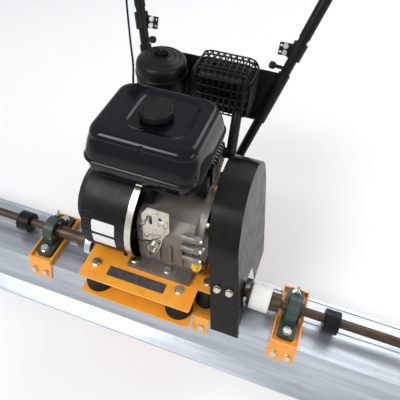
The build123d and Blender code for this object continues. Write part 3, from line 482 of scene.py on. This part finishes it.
cleanerLook = dict(x=-0.090, y=0.296, steps=(
    (0.0, 0.4115), (0.0565, 0.4115), (0.0585, 0.413), (0.0585, 0.420), (0.0570, 0.4215),
    (0.0570, 0.452), (0.0585, 0.4535), (0.0585, 0.458), (0.0570, 0.4595), (0.0570, 0.472),
    (0.0560, 0.478), (0.0532, 0.4835), (0.049, 0.4872), (0.044, 0.4885), (0.0425, 0.4875),
    (0.041, 0.4885), (0.036, 0.4915), (0.031, 0.4925), (0.0295, 0.4912), (0.028, 0.4925),
    (0.020, 0.4948), (0.012, 0.4955), (0.0, 0.4955)))
cleaner = turned("cleanerCover", cleanerLook["steps"], (cleanerLook["x"], cleanerLook["y"], 0),
                 (0, 0, 1), "satinBlack", "root", sides=128)
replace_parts(cleaner, "air_cleaner_cover")

capLook = dict(x=tankLook["capX"], y=tankLook["capY"], low=0.509, high=0.5230, radius=0.0338,
               lobes=10, lobeDepth=0.00125, lobeRoom=0.0013)


def fuelCapShell():
    # turned cap whose wall is scalloped by the cube of a cosine of the angle, with three fine
    # rings on its crown
    u = anglesRound(240)
    scallop = capLook["lobeDepth"] * (np.cos(capLook["lobes"] * u) ** 3)
    low, high = capLook["low"], capLook["high"]
    radius = capLook["radius"] - capLook["lobeRoom"]
    rows = []
    # each row: radius, height, share of the scallop
    for r, z, lobe in (
        (0.0, 0.5153, 0), (0.0222, 0.5153, 0), (0.0222, low, 0), (radius - 0.001, low, 1),
        (radius, low + 0.0008, 1), (radius, 0.5195, 1), (radius - 0.0006, 0.5212, 1),
        (radius - 0.0022, 0.5226, 0.7), (radius - 0.004, high, 0.3), (0.0265, high, 0),
        (0.0260, 0.5224, 0), (0.0250, 0.5224, 0), (0.0245, high, 0), (0.0190, high, 0),
        (0.0186, 0.5225, 0), (0.0178, 0.5225, 0), (0.0174, high, 0), (0.0115, high, 0),
        (0.0112, 0.5226, 0), (0.0, 0.5226, 0),
    ):
        reach = r + scallop * lobe if r > 0 else np.zeros_like(u)
        rows.append(np.stack([capLook["x"] + reach * np.cos(u), capLook["y"] + reach * np.sin(u),
                              np.full_like(u, z)], -1))
    return sharpen(surfaceMesh("fuelCapShell", np.array(rows), "mouldedBlack", "cap"), 30)


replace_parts(fuelCapShell(), "fuel_cap")

cageLook = dict(wire=0.0018, columns=9, crossWires=6, rings=5, shoulder=0.024, hoopCorner=0.02)


def cageWire(name, path, closed=False):
    return tubeAlong(name, path, cageLook["wire"], "satinBlack", "root", 8,
                     closed=closed)


def cageRing(name, centre, halfX, halfY):
    # level hoop of wire: a superellipse whose power follows the corner radius
    u = anglesRound(96)
    pull = cageLook["hoopCorner"] / min(halfX, halfY)
    outX, outY = squaredCircle(u, 2 / (2 + 6 * (1 - pull)))
    path = np.stack([centre[0] + halfX * outX, centre[1] + halfY * outY,
                     np.full_like(u, centre[2])], -1)
    return cageWire(name, path, closed=True)


def hairpin(start, end, bottom, top):
    # wire that stands up, turns over two quarter circles and comes down again
    start, end = np.array(start), np.array(end)
    way = (end - start) / np.linalg.norm(end - start)
    bend = cageLook["shoulder"]
    a = np.linspace(0, np.pi / 2, 9)
    first = [(*start, bottom)]
    first += [(*(start + way * bend * (1 - np.cos(t))), top - bend + bend * np.sin(t)) for t in a]
    last = [(*(end - way * bend * (1 - np.cos(t))), top - bend + bend * np.sin(t))
            for t in a[::-1]]
    return first + last + [(*end, bottom)]


def mufflerCage():
    # hoops at even heights, with hairpin wires over the crown front to back and side to side
    low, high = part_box("muffler_cage")
    wire = cageLook["wire"]
    cx, cy = (low.x + high.x) / 2, (low.y + high.y) / 2
    hx, hy = (high.x - low.x) / 2 - wire, (high.y - low.y) / 2 - wire
    bottom, top = low.z + wire, high.z - wire
    hoops, columns, crossWires = cageLook["rings"], cageLook["columns"], cageLook["crossWires"]
    made = []
    for k in range(hoops):
        z = bottom + (top - bottom - 0.016) * k / (hoops - 1)
        made.append(cageRing(f"cageHoop{k + 1}", (cx, cy, z), hx, hy))
    for k in range(columns):
        x = cx + (hx - 0.010) * (2 * k / (columns - 1) - 1)
        made.append(cageWire(f"cageHairpin{k + 1}", hairpin((x, cy - hy), (x, cy + hy), bottom, top)))
    for k in range(crossWires):
        y = cy + (hy - 0.010) * (2 * k / (crossWires - 1) - 1)
        made.append(cageWire(f"cageCross{k + 1}",
                             hairpin((cx - hx, y), (cx + hx, y), bottom, top - wire)))
    return made


cageParts = mufflerCage()
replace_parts(cageParts[0], "muffler_cage")

# the fan shroud turns about the crank, at middleY and middleZ
shroudLook = dict(middleY=0.046, middleZ=0.291, wall=0.1102, screwX=-0.030, screwDegs=(150, 205),
                  screwSize=0.006)
louvreLook = dict(count=6, startDeg=192, stepDeg=8.32, x0=-0.1165, x1=-0.094, height=0.0022,
                  sink=0.0004, halfAngle=0.019)


def shroudLouvre(index):
    # half-round rib that follows the shroud's wall: a circle across, carried along the
    # shroud's axis and tapered to nothing at both ends by a sixth power
    angle = np.radians(louvreLook["startDeg"] - louvreLook["stepDeg"] * index)
    a, c = np.meshgrid(np.linspace(0, 1, 24), anglesRound(20), indexing="ij")
    taper = np.sqrt(np.clip(1 - (2 * a - 1) ** 6, 0.0004, 1))
    turn = angle + np.cos(c) * louvreLook["halfAngle"] * taper
    reach = shroudLook["wall"] - louvreLook["sink"] + louvreLook["height"] * np.sin(c) * taper
    x = louvreLook["x0"] + (louvreLook["x1"] - louvreLook["x0"]) * a
    grid = np.stack([x, shroudLook["middleY"] + reach * np.cos(turn),
                     shroudLook["middleZ"] + reach * np.sin(turn)], -1)
    return surfaceMesh(f"shroudLouvre{index + 1}", grid, "satinBlack", "root",
                       capStart=True, capEnd=True)


for index in range(louvreLook["count"]):
    shroudLouvre(index)


def flangeScrew(name, centre, axis, size, finish="zincPlate"):
    # hexagon head on a round flange: the hexagon's reach is one over a cosine of the angle
    axis, side, other = axisFrame(axis)
    u = anglesRound(48)
    hexagon = 0.866 / np.cos((u + np.pi / 6) % (np.pi / 3) - np.pi / 6)
    ring = np.cos(u)[:, None] * side + np.sin(u)[:, None] * other
    rows = []
    # each row: reach and height as shares of the size, and whether it is six-sided
    for reach, height, six in ((1.0, -0.2, 0), (1.0, 0.15, 0), (0.95, 0.22, 0), (0.72, 0.28, 1),
                               (0.72, 0.75, 1), (0.64, 0.85, 1), (0.5, 0.86, 0), (0.0, 0.86, 0)):
        shape = hexagon if six else np.ones_like(u)
        rows.append(np.array(centre) + (reach * size * shape)[:, None] * ring + height * size * axis)
    return sharpen(surfaceMesh(name, np.array(rows), finish, "root", capStart=True), 30)


for number, deg in enumerate(shroudLook["screwDegs"], 1):
    angle = np.radians(deg)
    wall = (shroudLook["screwX"], shroudLook["middleY"] + shroudLook["wall"] * np.cos(angle),
            shroudLook["middleZ"] + shroudLook["wall"] * np.sin(angle))
    flangeScrew(f"shroudScrew{number}", wall, (0, np.cos(angle), np.sin(angle)),
                shroudLook["screwSize"], "satinBlack")

# bosses along the joint of the crankcase and its cover
bossLook = dict(
    places=((-0.036, 0.338), (-0.037, 0.306), (-0.036, 0.272)), screwX=0.123, screwSize=0.0055,
    profile=((0.0, 0.086), (0.0052, 0.086), (0.0062, 0.088), (0.0068, 0.104), (0.0078, 0.107),
             (0.0078, 0.1215), (0.0068, 0.123), (0.0, 0.123)))
for number, (y, z) in enumerate(bossLook["places"], 1):
    turned(f"caseBoss{number}", bossLook["profile"], (0, y, z), (1, 0, 0), "castAlloy", "root",
           sides=40)
    flangeScrew(f"caseScrew{number}", (bossLook["screwX"], y, z), (1, 0, 0), bossLook["screwSize"])

governorLook = dict(
    wire=((0.018, -0.0405, 0.372), (0.014, -0.044, 0.352), (-0.004, -0.047, 0.332),
          (-0.009, -0.048, 0.312), (0.000, -0.048, 0.300), (0.016, -0.047, 0.302),
          (0.034, -0.044, 0.312), (0.046, -0.0415, 0.322)),
    link=((0.0405, -0.049, 0.285), (0.046, -0.049, 0.300), (0.051, -0.046, 0.330),
          (0.050, -0.0415, 0.352)),
    springPlace=(0.030, -0.0385, 0.285), springRadius=0.0105, springPitch=0.0021, springTurns=5,
    wireRadius=0.0009, springWire=0.00095, linkRadius=0.0011)
tubeAlong("governorWire", roundPath(governorLook["wire"]), governorLook["wireRadius"],
          "satinBlack", "root", 10)

# spring: a helix along Y
t = np.linspace(0, governorLook["springTurns"] * 2 * np.pi, 260)
springX, springY, springZ = governorLook["springPlace"]
coil = np.stack([springX + governorLook["springRadius"] * np.cos(t),
                 springY - governorLook["springPitch"] * t / (2 * np.pi),
                 springZ + governorLook["springRadius"] * np.sin(t)], -1)
tubeAlong("governorSpring", coil, governorLook["springWire"], "zincPlate", "root", 10)
tubeAlong("governorLink", roundPath(governorLook["link"]), governorLook["linkRadius"],
          "zincPlate", "root", 10)

clampLook = dict(place=(0.050, -0.0385, 0.360), half=(0.010, 0.008), power=0.45,
                 screws=(("cableClampScrew", (0.050, -0.0418, 0.360), 0.0042),
                         ("controlScrew1", (0.014, -0.0385, 0.308), 0.0050),
                         ("controlScrew2", (0.036, -0.0385, 0.384), 0.0050)))


def clampPad(name, centre, half):
    # pressed pad: superellipse outline with a crowned face
    u = anglesRound(64)
    outX, outZ = squaredCircle(u, clampLook["power"])
    rows = []
    # each row: share of the outline and how far it stands out
    for scale, lift in ((1.0, 0.0), (1.0, -0.0018), (0.94, -0.0026), (0.6, -0.0031),
                        (0.2, -0.0033), (0.0, -0.0033)):
        rows.append(np.stack([centre[0] + half[0] * scale * outX, np.full_like(u, centre[1] + lift),
                              centre[2] + half[1] * scale * outZ], -1))
    return surfaceMesh(name, np.array(rows), "zincPlate", "root", capStart=True)


clampPad("cableClampPad", clampLook["place"], clampLook["half"])
for name, place, size in clampLook["screws"]:
    flangeScrew(name, place, (0, -1, 0), size)
print("stage: engine details")

gripLook = dict(ribs=26, depth=0.0009, radius=0.0166, bore=0.0129, inset=0.017)


def ribbedGrip(name, side):
    # closed sleeve along the level end of a handle: the wall's radius follows a cosine along
    # its length, plain at both ends, and the far end is domed by a quarter circle
    low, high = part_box("handle_grips")
    radius = gripLook["radius"]
    x = (low.x + gripLook["inset"]) if side < 0 else (high.x - gripLook["inset"])
    z = (low.z + high.z) / 2
    t = np.linspace(0, 1, 240)
    wall = radius - gripLook["depth"] * (0.5 + 0.5 * np.cos(2 * np.pi * gripLook["ribs"] * t))
    wall = np.where((t > 0.93) | (t < 0.05), radius, wall)
    wall = wall * np.sqrt(np.clip(1 - np.clip((t - 0.965) / 0.036, 0, 1) ** 2, 0.02, 1))
    y = low.y + (high.y - low.y) * t
    bore = (gripLook["bore"], low.y)
    profile = [(r, h - low.y) for r, h in (bore, bore, *zip(wall, y), (0.0, high.y))]
    return turned(name, profile, (x, low.y, z), (0, 1, 0), "rubberBlack", "root",
                  sides=48)


gripLeft = ribbedGrip("gripSleeveLeft", -1)
ribbedGrip("gripSleeveRight", 1)
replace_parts(gripLeft, "handle_grips")

wingLook = dict(reach=0.0165, hub=0.0066, hubHeight=0.0045)


def wingNutShell():
    # hub and two ears in one skin: radius and height follow a high power of the cosine of the
    # angle, so they rise along the ears and stay low between them
    low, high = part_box("wing_nut")
    cx, cy = (low.x + high.x) / 2, (low.y + high.y) / 2
    hub, hubHeight = wingLook["hub"], wingLook["hubHeight"]
    u = anglesRound(180)
    ear = np.abs(np.cos(u)) ** 24
    top = hubHeight + ear * (high.z - low.z - hubHeight)
    rows = []
    for share, lift in ((0.46, 0.0), (1.0, 0.0), (1.0, 0.35), (1.0, 0.75), (0.92, 0.95),
                        (0.7, 1.0), (0.46, 1.0)):
        reach = hub * share + (wingLook["reach"] - hub) * ear * (share > 0.5) * share
        rows.append(np.stack([cx + reach * np.cos(u), cy + reach * np.sin(u), low.z + lift * top], -1))
    return surfaceMesh("wingNutShell", np.array(rows), "mouldedBlack", "nut",
                       wrapV=True)


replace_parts(wingNutShell(), "wing_nut")

# starter rope between the cover's guide and the grip
ropeLook = dict(x=-0.139, radius=0.0022, behindGrip=0.008, steps=24)
gripLow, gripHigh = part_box("recoil_grip")
gripMid = (gripLow + gripHigh) / 2
ropeStart = gripLow.y - ropeLook["behindGrip"]
ropeSteps = ropeLook["steps"]
ropePath = np.array([(ropeLook["x"], ropeStart + (gripMid.y - ropeStart) * k / ropeSteps, gripMid.z)
                     for k in range(ropeSteps + 1)])
rope = tubeAlong("starterRope", ropePath, ropeLook["radius"], "rubberBlack", None, 10)
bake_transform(rope)

sleeveLook = dict(x0=0.2342, x1=0.2768, shaftY=0.005, shaftZ=0.1473, radius=0.0299, bore=0.0101,
                  grooves=(0.30, 0.68), grooveDepth=0.0005, grooveWidth=0.010, rim=0.0022)


def nylonSleeve():
    # turned sleeve whose radius dips in two narrow bell curves, with quarter-circle rims
    t = np.linspace(0, 1, 160)
    radius = np.full_like(t, sleeveLook["radius"])
    for place in sleeveLook["grooves"]:
        radius -= sleeveLook["grooveDepth"] * np.exp(-((t - place) / sleeveLook["grooveWidth"]) ** 2)
    rim = np.minimum(np.clip(t / 0.05, 0, 1), np.clip((1 - t) / 0.05, 0, 1))
    radius -= sleeveLook["rim"] * (1 - np.sqrt(1 - (1 - rim) ** 2))
    x = sleeveLook["x0"] + (sleeveLook["x1"] - sleeveLook["x0"]) * t
    profile = [(sleeveLook["bore"], x[0]), *zip(radius, x), (sleeveLook["bore"], x[-1])]
    return turned("nylonSleeve", profile, (0, sleeveLook["shaftY"], sleeveLook["shaftZ"]),
                  (1, 0, 0), "turnedNylon", "vibrator", sides=72)


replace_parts(nylonSleeve(), "coupling_disc_right")
print("stage: grips, nut, rope, sleeve")

viewLook = dict(place=(0.2732, -0.5282, 1.0426), right=(0.93585, 0.35219, 0.01275),
                up=(-0.27132, 0.69696, 0.66381), forward=(-0.22490, 0.62468, -0.74780),
                lens=41.67, sensor=36, shiftX=0.032, shiftY=-0.0075, clipStart=0.02)
studioLook = dict(floorHalf=9, floorZ=-0.0005, floorColour=(0.86, 0.86, 0.86), floorRough=0.8,
                  skyColour=(0.95, 0.97, 1.0), skyStrength=0.62)

half, floorZ = studioLook["floorHalf"], studioLook["floorZ"]
floorMesh = bpy.data.meshes.new("floor")
floorMesh.from_pydata([(-half, -half, floorZ), (half, -half, floorZ), (half, half, floorZ),
                       (-half, half, floorZ)], [], [(0, 1, 2, 3)])
floor = bpy.data.objects.new("floor", floorMesh)
bpy.context.scene.collection.objects.link(floor)
floorMesh.materials.append(newFinish("paleFloor", studioLook["floorColour"],
                                     studioLook["floorRough"])[0])

world = bpy.data.worlds.new("studio")
bpy.context.scene.world = world
world.use_nodes = True
background = world.node_tree.nodes["Background"]
background.inputs["Color"].default_value = (*studioLook["skyColour"], 1)
background.inputs["Strength"].default_value = studioLook["skyStrength"]


def softLight(name, place, target, size, power, colour):
    # square area light facing a point
    light = bpy.data.lights.new(name, "AREA")
    light.energy = power
    light.size = size
    light.color = colour
    lamp = bpy.data.objects.new(name, light)
    bpy.context.scene.collection.objects.link(lamp)
    lamp.location = place
    facing = Vector(target) - Vector(place)
    lamp.rotation_euler = facing.to_track_quat("-Z", "Y").to_euler()


softLight("keyLight", (-1.2, -1.6, 2.6), (0, 0.1, 0.2), 1.3, 52, (1, 1, 1))
softLight("backLight", (0.8, 2.2, 2.4), (0, 0.1, 0.3), 1.6, 34, (0.95, 0.98, 1.0))
softLight("sideLight", (2.4, -0.2, 1.6), (0.1, 0.1, 0.3), 1.2, 16, (1.0, 0.95, 0.9))

camera = bpy.data.objects.new("camera", bpy.data.cameras.new("camera"))
bpy.context.scene.collection.objects.link(camera)
right, up, forward = (Vector(viewLook[k]) for k in ("right", "up", "forward"))
turn = Matrix((right, up, -forward)).transposed()
camera.matrix_world = Matrix.Translation(viewLook["place"]) @ turn.to_4x4()
camera.data.lens = viewLook["lens"]
camera.data.sensor_width = viewLook["sensor"]
camera.data.shift_x = viewLook["shiftX"]
camera.data.shift_y = viewLook["shiftY"]
camera.data.clip_start = viewLook["clipStart"]
bpy.context.scene.camera = camera
bpy.context.scene.view_settings.view_transform = "Standard"

print("stage: ready")
